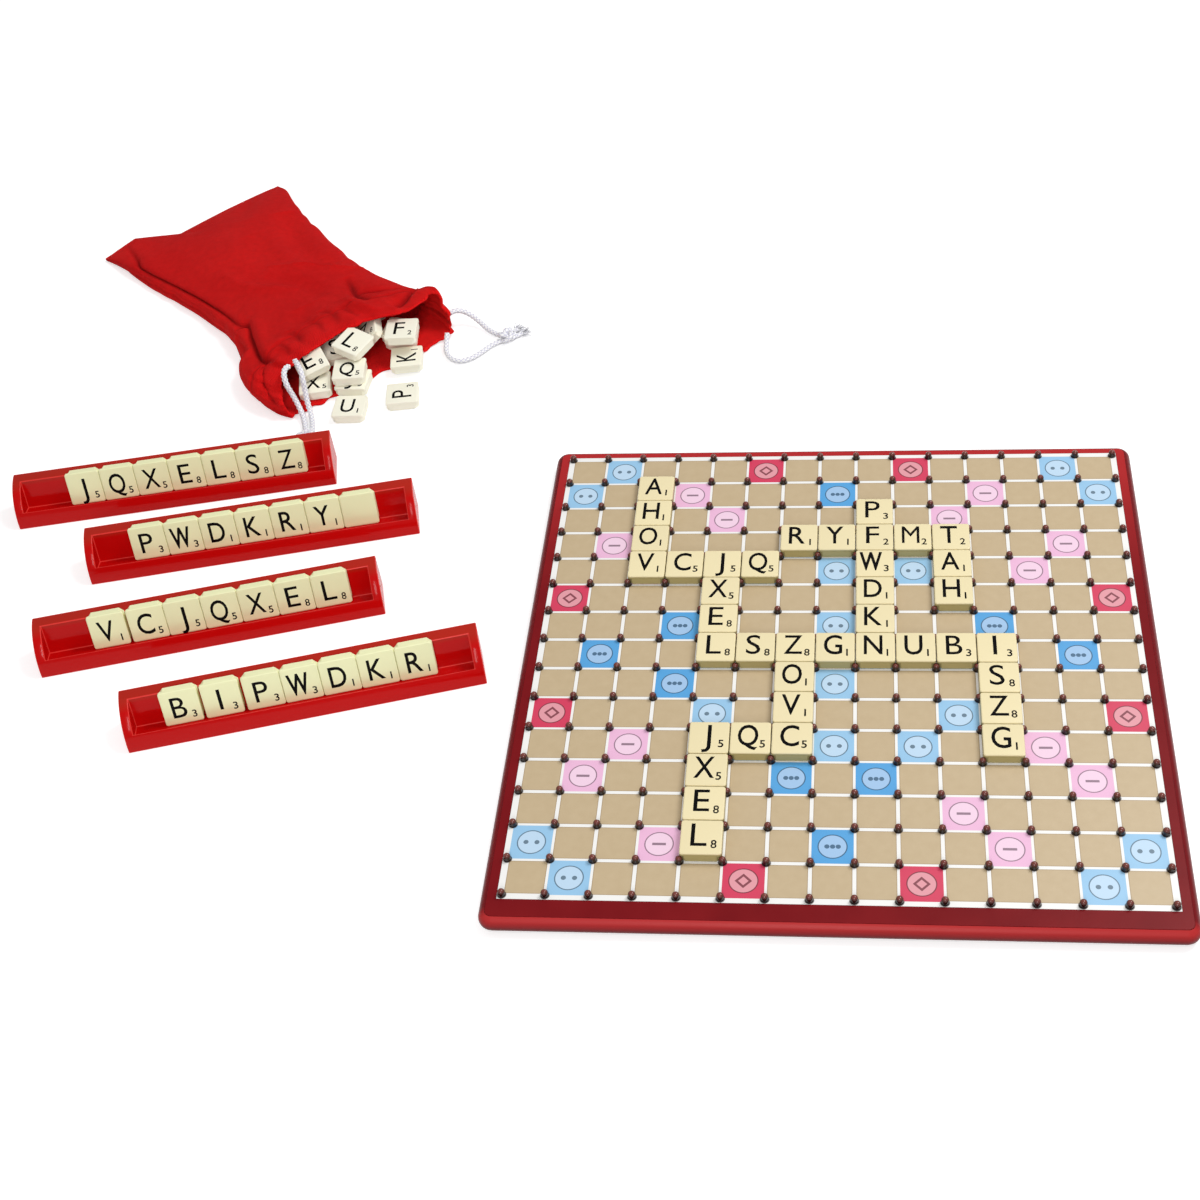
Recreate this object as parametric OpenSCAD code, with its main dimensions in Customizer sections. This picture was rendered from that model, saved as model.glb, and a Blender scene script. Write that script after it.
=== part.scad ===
// Travel word tile game: peg-lock board, tile racks, letter tiles and a drawstring bag.
// Millimetres. Z is up, the table top is z = 0 and the origin is under the board's centre.

/* [Playing grid] */
// Distance between neighbouring pegs, one square of the grid
cell = 16.25; // [15.5:0.25:18]
// Blank border of the printed sheet outside the last row of pegs
sheet_margin = 1.8; // [1.8:0.1:3]
// Thickness of the printed sheet
sheet_t = 0.5; // [0.3:0.1:1]

/* [Pegs] */
// Diameter of a peg
peg_d = 2.8; // [2:0.1:3]
// Height of a peg's top above the sheet
peg_h = 3.1; // [2.4:0.1:3.1]
// Clearance of the sheet's holes round a peg
peg_hole_gap = 0.1; // [0.05:0.05:0.2]

/* [Board] */
// Height of the whole board
board_h = 8; // [7:0.5:12]
// Width of the red edge outside the dark frame
edge_w = 2.8; // [2.4:0.1:4]
// Width of the dark frame at the left and right
side_frame_w = 3.8; // [3:0.1:8]
// Width of the dark frame at the far side
far_frame_w = 3; // [3:0.1:8]
// Width of the dark frame at the near side
near_frame_w = 7.8; // [3:0.1:14]
// Radius of the board's corners in plan
board_corner_r = 5.5; // [4.5:0.5:8]
// Thickness of the tray's floor
floor_t = 1.8; // [1.2:0.1:2.5]
// Thickness of the plate that the pegs stand on
plate_t = 1.7; // [1.2:0.1:2]
// Thickness of the ribs in the tray
rib_t = 1.6; // [1.2:0.1:3]
// Squares of the grid between two ribs
rib_step = 3; // [3:1:5]

/* [Letter tiles] */
// Side of a tile's face
tile_w = 15.85; // [14.8:0.05:15.9]
// Thickness of a tile
tile_t = 4.8; // [4.6:0.1:5.4]
// Thickness of the full square plate at a tile's face
face_t = 1.5; // [1:0.1:1.5]
// Corner that is cut off a tile's foot to clear a peg
foot_cut = 1.9; // [1.9:0.1:3]
// Radius of the corners of a tile's face
face_corner_r = 1; // [0.4:0.1:1.5]

/* [Tile rack] */
// Length of a rack
rack_l = 150; // [146:1:180]
// Depth of a rack from front to back
rack_d = 20; // [19.6:0.2:22]
// Radius of a rack's arched top
rack_r = 18.5; // [18.2:0.1:19]
// Depth of the arch's centre below the table
rack_sink = 1.4; // [1:0.1:1.6]
// Width of a rack's closed ends
rack_end_w = 3.9; // [3:0.1:6]
// Wall of a rack
rack_wall = 1.6; // [1.2:0.1:1.8]
// Lean of the tiles in a rack, from upright, in degrees
lean = 16.5; // [14:0.5:18]
// Distance of the pocket's lowest line from the rack's front
pocket_y = 10.7; // [10.5:0.1:11]
// Height of the pocket's lowest line
pocket_z = 3.6; // [3.4:0.1:4.4]
// Distance of the pocket's front wall from the rack's front
lip_y = 2.5; // [2.3:0.1:3]

/* [Drawstring bag] */
// Length of the bag as it lies
bag_l = 190; // [170:5:210]
// Width of the bag at its sewn end
bag_w = 107; // [95:1:115]
// Height of the bag at its mouth
mouth_h = 25; // [24.5:0.5:30]
// Thickness of the cloth, doubled at its hems
cloth_t = 1.2; // [0.8:0.1:1.6]
// Diameter of the drawstring
string_d = 3; // [2.4:0.2:3.4]

/* [Hidden] */
RUNS = [1:11];
RACKS = [1:4];
SLOTS = [1:7];
SPILLED = [1:4];
$fn = 48;
cells = 15;
// Running clearance between pieces that lie on each other
gap = 0.03;

// Grid and board, from the values above
grid_w = cells * cell;
sheet_w = grid_w + 2 * sheet_margin;
board_w = sheet_w + 2 * (side_frame_w + edge_w);
board_l = sheet_w + near_frame_w + far_frame_w + 2 * edge_w;
grid_y = (near_frame_w - far_frame_w) / 2;
plate_z = board_h - sheet_t - plate_t;
sheet_z = board_h - sheet_t;
edge_r = board_h / 2;
frame_gap = 0.1;
// Ledge in the tray that the peg plate lies on
ledge_w = 3;
foot_t = tile_t - face_t;
peg_r = peg_d / 2;

// Rack section, in the plane of depth (x) and height (y)
arch_c = [rack_r, -rack_sink];
pocket_l = rack_l - 2 * rack_end_w;
up_y = sin(lean);
up_z = cos(lean);
ledge_l = (pocket_y - lip_y) / up_z;
lip_z = pocket_z + ledge_l * up_y;
over = 30;

// Places on the table: [x, y, turn in degrees] of each rack's front middle
rack_places = [
    [-308.9, 103.4, 11.6], [-262.5, 67.8, 12.6], [-268.3, 13.8, 14.9], [-217.1, -27.2, 15.3]
];
// First tile's left side from the rack's middle, and the extra gap before each tile
row_left = [-49.2, -54.1, -50.7, -58.1];
row_gaps = [[0, 0, 0, 0, 0, 0, 0], [0, 0, 0, 0, 0, 0, 0], [0, 0.9, 0, 0, 0, 0, 0], [0, 1, 1.2, 0, 0, 0, 0]];
tile_gap = 0.12;
tile_step = tile_w + tile_gap;

// Tiles that lie on the board, one list of [column, row] for each run; row 1 is the far one
runs = [
    [[3, 2], [3, 3], [3, 4], [3, 5]],
    [[4, 5], [5, 5], [6, 5]],
    [[5, 6], [5, 7]],
    [[5, 8], [6, 8], [7, 8], [8, 8], [9, 8], [10, 8], [11, 8], [12, 8]],
    [[9, 3], [9, 5], [9, 6], [9, 7]],
    [[7, 4], [8, 4], [9, 4], [10, 4], [11, 4]],
    [[11, 5], [11, 6]],
    [[7, 9], [7, 10], [7, 11]],
    [[5, 11], [6, 11]],
    [[5, 12], [5, 13], [5, 14]],
    [[12, 9], [12, 10], [12, 11]]
];

// Bag: its mouth's middle on the table and the direction in which the mouth looks
bag_x = -237.9;
bag_y = 200.5;
bag_turn = -47.8;

// Bag's rings: [place along the bag, left side, right side, height, share of the mouth's slant and cut]
bag_rings = [
    [-1, -54, 54, 0.12, 0], [-0.95, -52, 54, 0.28, 0], [-0.85, -48, 50, 0.5, 0],
    [-0.7, -43, 46, 0.66, 0], [-0.53, -38, 42, 0.76, 0], [-0.4, -37, 41, 0.82, 0],
    [-0.27, -42, 43, 0.88, 0.1], [-0.16, -49, 48, 0.94, 0.4], [-0.07, -52, 52, 1, 0.8],
    [-0.01, -51, 53, 1, 1], [0.03, -47, 52, 0.97, 1]
];
// Width that the rings above are drawn for
bag_rings_w = 107;
bag_sides = 32;
mouth_slant = 0.45;
// How far the lip is drawn back over the heap, most at its left
lip_cut = 10;
// How much lower the bag is at its near side than at its far side, at the mouth
side_rise = 0.25;
// Height of the bag's widest line as a share of its height, and the roundness above and below it
belly = 0.36;
crown = 0.6;
keel = 0.2;
// Inner rings start this many rings from the sewn end
inner_first = 2;

// Tiles heaped in the bag's mouth, on the table: [x, y, z, roll, pitch, turn in degrees]
heap_places = [
    [-222.5, 226.5, 2.2, 0, 0, 5], [-222, 224, 7.2, 0, 0, -8], [-240.5, 189.5, 2, 0, 0, -3],
    [-242, 191.5, 7, 0, 0, 5], [-259.5, 187, 2, 0, 0, 12], [-262, 196, 10.3, 14, -10, 30],
    [-241.5, 205.5, 13.9, 6, 5, -28], [-253, 212, 5.8, 12, 0, 20], [-236, 221, 9.6, 4, -42, 12]
];
// Rows of tiles deeper in the bag, in its own frame: [x, layer, turn, how many]
row_pitch = 16.8;
layer_gap = 0.2;
row_lift = 1.3;
deep_rows = [
    [-38, 0, 2, 4], [-56, 0, -3, 4], [-73, 0, 1, 4], [-40, 1, 6, 3], [-59, 1, -4, 3], [-43, 2, 3, 2]
];
// Tiles that have left the bag: [x, y, z, roll, pitch, turn in degrees] on the table
spilled_places = [
    [-239, 171, gap, 0, 0, 1], [-214.3, 180.5, gap, 0, 0, 98],
    [-216.5, 207, 2, 0, 0, 98], [-219, 216.5, 12.3, 0, 0, 3]
];

// Drawstrings, on the table: each side's two strands leave the casing and meet in a knot
string_r = string_d / 2;
string_sides = 8;
right_strands = [
    [[-198.9, 238.6, 9.4], [-196, 241, 9], [-192.4, 242.4, 7.4], [-188, 241.6, 5], [-183.8, 238.8, 3],
     [-180, 235.2, 1.9], [-176, 231.8, 1.6], [-171.4, 229.2, 1.6]],
    [[-198.6, 226, 6], [-198.8, 221.5, 3.4], [-198, 216, 1.8], [-194.6, 210.8, 1.6], [-189.6, 208.8, 1.6],
     [-184.4, 211, 1.6], [-180.2, 215.4, 1.6], [-176, 220.8, 1.6], [-171.2, 224.8, 1.6]]
];
left_strands = [
    [[-269.9, 185.5, 18.2], [-270.8, 182.3, 18.9], [-270.5, 178.1, 18.2], [-269.2, 175.1, 14.6],
     [-267.6, 174.3, 10.2], [-265.1, 171.7, 6], [-262.4, 167.3, 2.6], [-260.2, 161.5, 1.6],
     [-258.7, 156.5, 1.6], [-258.3, 152.8, 1.6]],
    [[-266.8, 188, 19.6], [-264.4, 184, 20], [-262.2, 180, 19], [-261.1, 176.9, 15.8],
     [-260.9, 175.4, 11.4], [-260.2, 172.7, 7], [-258.6, 168.7, 3], [-256.7, 163.1, 1.6],
     [-255.4, 157.2, 1.6], [-255, 152.8, 1.6]]
];
knot_r = 3.2;
tail_l = 12;
tail_gap = 1.8;
right_knot_place = [-168.2, 227.1, 3.2];
right_knot_turn = 45;
left_knot_place = [-256.7, 149.6, 3.2];
left_knot_turn = -85;

// ---- shapes that repeat ----

// Rectangle with round corners, centred
module rounded_rect(w, l, r) {
    square([w - 2 * r, l], center = true);
    square([w, l - 2 * r], center = true);
    for (sx = [-1, 1], sy = [-1, 1])
        translate([sx * (w / 2 - r), sy * (l / 2 - r)]) circle(r);
}

// Slab whose whole edge is half round, with round corners in plan
module bullnose_slab(w, l, h, corner) {
    r = h / 2;
    translate([0, 0, r]) {
        cube([w - 2 * r, l - 2 * corner, h], center = true);
        cube([w - 2 * corner, l - 2 * r, h], center = true);
        for (s = [-1, 1]) {
            translate([0, s * (l / 2 - r), 0]) rotate([0, 90, 0])
                cylinder(h = w - 2 * corner, r = r, center = true);
            translate([s * (w / 2 - r), 0, 0]) rotate([90, 0, 0])
                cylinder(h = l - 2 * corner, r = r, center = true);
        }
    }
    for (sx = [-1, 1], sy = [-1, 1])
        translate([sx * (w / 2 - corner), sy * (l / 2 - corner), 0])
            rotate_extrude() intersection() {
                union() {
                    square([corner - r, h]);
                    translate([corner - r, r]) circle(r);
                }
                square([corner + 1, h]);
            }
}

// One letter tile, face up, standing on its foot at z = 0
module tile() {
    w = tile_w / 2;
    c = w - foot_cut;
    linear_extrude(foot_t)
        polygon([[w, -c], [w, c], [c, w], [-c, w], [-w, c], [-w, -c], [-c, -w], [c, -w]]);
    translate([0, 0, foot_t]) linear_extrude(face_t) rounded_rect(tile_w, tile_w, face_corner_r);
}

// Puts its children where place says: [x, y, z, roll, pitch, turn]
module at(place) {
    translate([place[0], place[1], place[2]]) rotate([place[3], place[4], place[5]]) children();
}

// Everything on the grid's crossings
module each_crossing() {
    for (i = [0:cells], j = [0:cells])
        translate([(i - cells / 2) * cell, grid_y + (j - cells / 2) * cell, 0]) children();
}

// ---- board ----

// Red moulded tray with a half-round edge, a ledge and ribs
module base_tray() {
    well = sheet_w - 2 * ledge_w;
    color("firebrick") {
        difference() {
            bullnose_slab(board_w, board_l, board_h, board_corner_r);
            translate([0, 0, plate_z]) linear_extrude(board_h)
                rounded_rect(board_w - 2 * edge_w, board_l - 2 * edge_w, board_corner_r - edge_w);
            translate([0, grid_y, floor_t + board_h / 2]) cube([well, well, board_h], center = true);
        }
        for (k = [rib_step:rib_step:cells - 1]) {
            along = (k - cells / 2) * cell;
            translate([along - rib_t / 2, grid_y - well / 2, floor_t])
                cube([rib_t, well, plate_z - floor_t]);
            translate([-well / 2, grid_y + along - rib_t / 2, floor_t])
                cube([well, rib_t, plate_z - floor_t]);
        }
    }
}

// Brown plate under the printed sheet, which carries the pegs
module peg_plate() {
    color("saddlebrown") translate([0, grid_y, plate_z + plate_t / 2])
        cube([sheet_w, sheet_w, plate_t], center = true);
}

// One peg at each crossing, with a round top
module pegs() {
    color("maroon") each_crossing() translate([0, 0, sheet_z]) {
        cylinder(h = sheet_t + peg_h - peg_r, r = peg_r);
        translate([0, 0, sheet_t + peg_h - peg_r]) sphere(peg_r);
    }
}

// Printed playing sheet, punched for the pegs
module play_sheet() {
    color("tan") difference() {
        translate([0, grid_y, sheet_z + sheet_t / 2]) cube([sheet_w, sheet_w, sheet_t], center = true);
        each_crossing() translate([0, 0, sheet_z - 1]) cylinder(h = sheet_t + 2, r = peg_r + peg_hole_gap);
    }
}

// Dark frame that holds the sheet down
module rim_frame() {
    outer_w = board_w - 2 * edge_w - 2 * frame_gap;
    outer_l = board_l - 2 * edge_w - 2 * frame_gap;
    color("darkred") difference() {
        translate([0, 0, plate_z]) linear_extrude(board_h - plate_z)
            rounded_rect(outer_w, outer_l, board_corner_r - edge_w);
        translate([0, grid_y, plate_z]) cube(
            [sheet_w + 2 * frame_gap, sheet_w + 2 * frame_gap, 2 * board_h], center = true);
    }
}

// Tiles of one run, pressed down between the pegs
module run_tiles(n) {
    color("wheat") for (place = runs[n - 1])
        translate([(place[0] - 0.5 - cells / 2) * cell, grid_y + (cells / 2 - place[1] + 0.5) * cell, board_h + gap])
            tile();
}

// ---- racks ----

// Quarter-round section of a rack, drawn in by inset
module arch_section(inset) {
    intersection() {
        translate(arch_c) circle(rack_r - inset);
        translate([0, -inset]) square([rack_d - inset, over]);
    }
}

// Corner of the pocket, grown outwards by skin
module pocket_corner(skin) {
    translate([pocket_y + skin * (up_z - up_y), pocket_z - skin * (up_z + up_y)])
        rotate(-lean) translate([-over, 0]) square(over + skin / 10);
}

// Stretches a section along the rack
module along_rack(l) {
    rotate([90, 0, 90]) linear_extrude(l, center = true) children();
}

module at_rack(n) {
    place = rack_places[n - 1];
    translate([place[0], place[1], 0]) rotate([0, 0, place[2]]) children();
}

// Hollow red moulding with a pocket that the tiles lean back in
module rack(n) {
    color("red") at_rack(n) difference() {
        along_rack(rack_l) arch_section(0);
        along_rack(pocket_l) intersection() {
            pocket_corner(0);
            translate([lip_y, 0]) square(over);
        }
        along_rack(pocket_l) difference() {
            arch_section(rack_wall);
            pocket_corner(rack_wall);
        }
    }
}

// Extra gaps in front of tile k of rack n, added up
function gaps_before(n, k) = k < 0 ? 0 : row_gaps[n - 1][k] + gaps_before(n, k - 1);

// Tile k, from 1 at the left, of rack n
module rack_tile(n, k) {
    x = row_left[n - 1] + tile_w / 2 + (k - 1) * tile_step + gaps_before(n, k - 1);
    high = tile_w / 2 + gap;
    color("cornsilk") at_rack(n)
        translate([x, pocket_y + high * up_y - gap * up_z, pocket_z + high * up_z + gap * up_y])
            rotate([90 - lean, 0, 0]) tile();
}

// ---- bag ----

// Point of a bag ring at angle a, drawn in by inset
function bag_point(ring, a, inset) =
    let (
        middle = (ring[1] + ring[2]) / 2,
        half = (ring[2] - ring[1]) / 2 * bag_w / bag_rings_w - inset,
        high = ring[3] * mouth_h * (1 + side_rise * (1 + ring[0]) * (cos(a) - 1) / 2),
        widest = belly * high,
        z = sin(a) >= 0
            ? widest + (high - inset - widest) * pow(sin(a), crown)
            : widest - (widest - inset) * pow(-sin(a), keel),
        back = mouth_slant * z + lip_cut * pow(max(0, sin(a)), 2) * (1 - cos(a))
    )
    [ring[0] * bag_l - ring[4] * back, middle + half * cos(a), z];

function bag_ring(ring, inset) =
    [for (k = [0:bag_sides - 1]) bag_point(ring, 360 * k / bag_sides, inset)];

// Skin through a list of rings, closed at both ends
module skin(rings, sides) {
    n = len(rings);
    walls = [
        for (i = [0:n - 2], k = [0:sides - 1])
            let (a = i * sides + k, b = i * sides + (k + 1) % sides)
            each [[a, a + sides, b], [b, a + sides, b + sides]]
    ];
    first = [for (k = [0:sides - 1]) k];
    last = [for (k = [sides - 1:-1:0]) (n - 1) * sides + k];
    polyhedron([for (ring = rings) each ring], concat(walls, [first, last]), convexity = 6);
}

module at_bag() {
    translate([bag_x, bag_y, 0]) rotate([0, 0, bag_turn]) children();
}

// Cotton bag on its side, open at the mouth
module bag() {
    last = len(bag_rings) - 1;
    outer = [for (i = [0:last]) bag_ring(bag_rings[i], 0)];
    inner = [for (i = [last:-1:inner_first]) bag_ring(bag_rings[i], cloth_t)];
    color("crimson") at_bag() skin(concat(outer, inner), bag_sides);
}

// Tiles that are still in the bag: the heap at its mouth and the rows behind
module bag_tiles() {
    layer = tile_t + layer_gap;
    color("cornsilk") {
        for (place = heap_places) at(place) tile();
        at_bag() for (row = deep_rows, k = [1:row[3]])
            at([row[0], (k - (row[3] + 1) / 2) * (row_pitch + row[1]), cloth_t + row_lift + row[1] * layer,
                0, 0, row[2]]) tile();
    }
}

module spilled_tile(n) {
    color("cornsilk") at(spilled_places[n - 1]) tile();
}

// ---- drawstrings ----

function unit(v) = v / norm(v);

// Direction of a route at its point i
function heading(route, i) =
    unit(route[min(i + 1, len(route) - 1)] - route[max(i - 1, 0)]);

// Ring of the tube round point i, with one side kept level
function string_ring(route, i) =
    let (ahead = heading(route, i), side = unit(cross(ahead, [0, 0, 1])), up = cross(side, ahead))
    [for (k = [0:string_sides - 1])
        let (a = 360 * (k + 0.5) / string_sides)
        route[i] + string_r * (side * cos(a) + up * sin(a))];

module strings(routes) {
    for (route = routes)
        skin([for (i = [0:len(route) - 1]) string_ring(route, i)], string_sides);
}

// Overhand knot, kept plain: a short round bead with the two cut ends behind it
module knot(place, turn) {
    translate(place) rotate([0, 0, turn]) {
        sphere(knot_r);
        for (s = [-1, 1]) translate([0, s * tail_gap, -knot_r + string_r + gap])
            rotate([0, 90, 0]) cylinder(h = tail_l, r = string_r);
    }
}

module right_drawstring() { color("white") strings(right_strands); }
module left_drawstring() { color("white") strings(left_strands); }
module right_knot() { color("white") knot(right_knot_place, right_knot_turn); }
module left_knot() { color("white") knot(left_knot_place, left_knot_turn); }

// ---- what is drawn ----

base_tray();
peg_plate();
pegs();
play_sheet();
rim_frame();
for (n = RUNS) run_tiles(n);
for (n = RACKS) rack(n);
for (n = RACKS, k = SLOTS)
    rack_tile(n, k);
bag();
bag_tiles();
for (n = SPILLED) spilled_tile(n);
right_drawstring();
right_knot();
left_drawstring();
left_knot();
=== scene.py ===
# %% [markdown]
# # A travel word tile game, laid out on a table
# A peg-lock board with letter tiles pressed between its pegs, four arched racks with seven tiles each,
# and a cotton drawstring bag that spills its tiles. The hard pieces with true curves come from the
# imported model. The letters, the cloth, the cords and every finish are made here.
# Lengths are in metres. The origin is under the board's centre, on the table.

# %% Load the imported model
import math
import bpy
import numpy as np
from mathutils import Matrix, Vector


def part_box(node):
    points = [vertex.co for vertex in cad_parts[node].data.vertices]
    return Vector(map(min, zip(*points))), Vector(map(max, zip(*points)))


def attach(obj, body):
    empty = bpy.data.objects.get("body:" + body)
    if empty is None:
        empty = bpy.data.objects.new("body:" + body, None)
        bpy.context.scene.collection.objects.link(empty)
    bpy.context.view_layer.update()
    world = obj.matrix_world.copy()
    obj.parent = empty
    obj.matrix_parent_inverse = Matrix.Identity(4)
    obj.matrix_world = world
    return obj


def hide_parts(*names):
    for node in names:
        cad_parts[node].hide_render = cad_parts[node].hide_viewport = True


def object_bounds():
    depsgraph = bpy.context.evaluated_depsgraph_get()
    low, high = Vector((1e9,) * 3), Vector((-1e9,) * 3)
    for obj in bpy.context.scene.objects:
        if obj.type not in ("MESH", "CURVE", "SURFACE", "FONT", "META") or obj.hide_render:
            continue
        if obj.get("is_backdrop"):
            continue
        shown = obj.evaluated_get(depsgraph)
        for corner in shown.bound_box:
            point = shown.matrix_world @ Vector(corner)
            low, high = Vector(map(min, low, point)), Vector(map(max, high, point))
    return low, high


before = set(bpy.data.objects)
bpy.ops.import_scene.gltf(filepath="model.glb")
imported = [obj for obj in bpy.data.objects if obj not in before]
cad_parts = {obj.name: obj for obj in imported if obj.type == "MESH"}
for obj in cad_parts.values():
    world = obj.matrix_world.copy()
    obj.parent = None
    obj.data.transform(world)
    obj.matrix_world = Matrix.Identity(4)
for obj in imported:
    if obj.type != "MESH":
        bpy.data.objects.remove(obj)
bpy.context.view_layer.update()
MM = 0.001

# %% [markdown]
# ## Camera
# A product picture taken from 45 degrees above, a little from the right of the bag. The lens and the
# place were solved from the board's four corners. The matrix holds the camera's own right, up and back
# directions as columns, which says more plainly than three angles how it is turned.

# %% Make the camera
CAMERA_PLACE = (0.0113, -0.5053, 0.5557)
CAMERA_RIGHT = (0.99304, 0.08200, -0.08453)
CAMERA_UP = (0.00007, 0.71735, 0.69671)
CAMERA_BACK = (0.11777, -0.69187, 0.71235)

camera_data = bpy.data.cameras.new("camera")
camera_data.sensor_width = 36
camera_data.lens = 54.417
camera_data.shift_x, camera_data.shift_y = -0.04, 0.01
camera = bpy.data.objects.new("camera", camera_data)
turn = Matrix([CAMERA_RIGHT, CAMERA_UP, CAMERA_BACK]).transposed()
camera.matrix_world = Matrix.Translation(CAMERA_PLACE) @ turn.to_4x4()
bpy.context.collection.objects.link(camera)
bpy.context.scene.camera = camera
bpy.context.scene.view_settings.view_transform = "Standard"

# %% [markdown]
# ## Helpers for meshes
# Nearly every new piece is a grid of points: one parameter runs along it and one runs round it. Whole
# arrays of points are worked out at once, and the same few lines turn any such grid into faces.

# %% Grids, joined shapes and finished objects
def grid_faces(rows, columns, closed=False):
    """Quads between neighbouring rows of a grid whose columns close in a ring. Corner (i, j) is number
    i * columns + j, and j + 1 wraps round to 0 after the last column, as the rows do where closed."""
    i, j = np.meshgrid(np.arange(rows if closed else rows - 1), np.arange(columns), indexing="ij")
    here, beside = i * columns + j, i * columns + (j + 1) % columns
    quads = np.stack([here, beside, beside + columns, here + columns], -1).reshape(-1, 4)
    return (quads % (rows * columns)).tolist()


def tube_faces(rings, sides, closed=False):
    """The wall of a stack of rings, and its two end caps where it isn't a closed loop."""
    first, last = list(range(sides)), (rings - 1) * sides
    caps = [] if closed else [first[::-1], [last + k for k in first]]
    return grid_faces(rings, sides, closed) + caps


def joined(shapes):
    """One shape from many (points, faces, finish numbers): faces count on from the points before them.
    The last result holds, for each point, the number of the shape that it came from."""
    points, faces, finishes, owners = [], [], [], []
    first = 0
    for number, (p, f, m) in enumerate(shapes):
        faces += [[v + first for v in face] for face in f]
        finishes += list(m)
        points.append(np.asarray(p))
        owners.append(np.full(len(p), number))
        first += len(p)
    return np.concatenate(points), faces, finishes, np.concatenate(owners)


def spot(x, y, z, roll=0, pitch=0, turn=0):
    """Matrix of a place in mm and three turns in degrees, about x first, then y, then z."""
    matrix = Matrix.Translation((x * MM, y * MM, z * MM))
    for degrees, axis in ((turn, "Z"), (pitch, "Y"), (roll, "X")):
        matrix = matrix @ Matrix.Rotation(math.radians(degrees), 4, axis)
    return matrix


def moved(matrix, points):
    """Points turned and shifted by a 4 by 4 matrix: p' = R p + t."""
    m = np.array(matrix)
    return points @ m[:3, :3].T + m[:3, 3]


def piece(name, points, faces, materials, finishes=None, sharp=35, uv=None, tint=None):
    """A mesh object at the origin. uv is one (u, v) per point and tint one number per point: a random tone
    on tiles, painted crease shade on the bag.
    """
    mesh = bpy.data.meshes.new(name)
    mesh.from_pydata(np.asarray(points).tolist(), [], faces)
    for material in materials:
        mesh.materials.append(material)
    if finishes is not None:
        mesh.polygons.foreach_set("material_index", np.array(finishes, np.int32))
    mesh.polygons.foreach_set("use_smooth", np.ones(len(mesh.polygons), bool))
    if sharp:
        mesh.set_sharp_from_angle(angle=math.radians(sharp))
    corners = np.zeros(len(mesh.loops), np.int32)
    mesh.loops.foreach_get("vertex_index", corners)
    if uv is not None:
        layer = mesh.uv_layers.new(name="Cloth")
        layer.data.foreach_set("uv", np.asarray(uv, np.float32)[corners].ravel())
    if tint is not None:
        mesh.attributes.new("tint", "FLOAT", "POINT").data.foreach_set("value", tint.astype(np.float32))
    mesh.update()
    made = bpy.data.objects.new(name, mesh)
    bpy.context.collection.objects.link(made)
    return made


# %% [markdown]
# ## Helpers for finishes
# A finish is a small sum: take the place on the surface, look up some noise, mix two colours. Shader
# nodes do such sums, but dozens of them are hard to read as code. Value wraps one socket, so that
# `noise * 0.2 + 0.4` adds the two Math nodes by itself. Colours go through Mix, because a Math node
# would turn them grey.

# %% Values that add their own nodes
class Value:
    """One shader socket that takes part in sums."""

    def __init__(self, paint, socket):
        self.paint, self.socket = paint, socket

    def math(self, operation, *values):
        return self.paint.node("ShaderNodeMath", {"operation": operation}, values)

    def __add__(self, other): return self.math("ADD", self, other)
    def __sub__(self, other): return self.math("SUBTRACT", self, other)
    def __rsub__(self, other): return self.math("SUBTRACT", other, self)
    def __mul__(self, other): return self.math("MULTIPLY", self, other)
    def __truediv__(self, other): return self.math("DIVIDE", self, other)
    def __lt__(self, other): return self.math("LESS_THAN", self, other)
    def __gt__(self, other): return self.math("GREATER_THAN", self, other)
    def __abs__(self): return self.math("ABSOLUTE", self)
    def floor(self): return self.math("FLOOR", self)
    def sine(self): return self.math("SINE", self)
    def root(self): return self.math("SQRT", self)
    def most(self, other): return self.math("MAXIMUM", self, other)
    def least(self, other): return self.math("MINIMUM", self, other)
    def close_to(self, other, by): return self.math("COMPARE", self, other, by)


def linear(red, green, blue):
    """Display colour from 0 to 255 as the linear colour that a shader takes."""
    def part(v):
        v = v / 255
        return v / 12.92 if v <= 0.04045 else ((v + 0.055) / 1.055) ** 2.4
    return (part(red), part(green), part(blue), 1.0)


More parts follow.
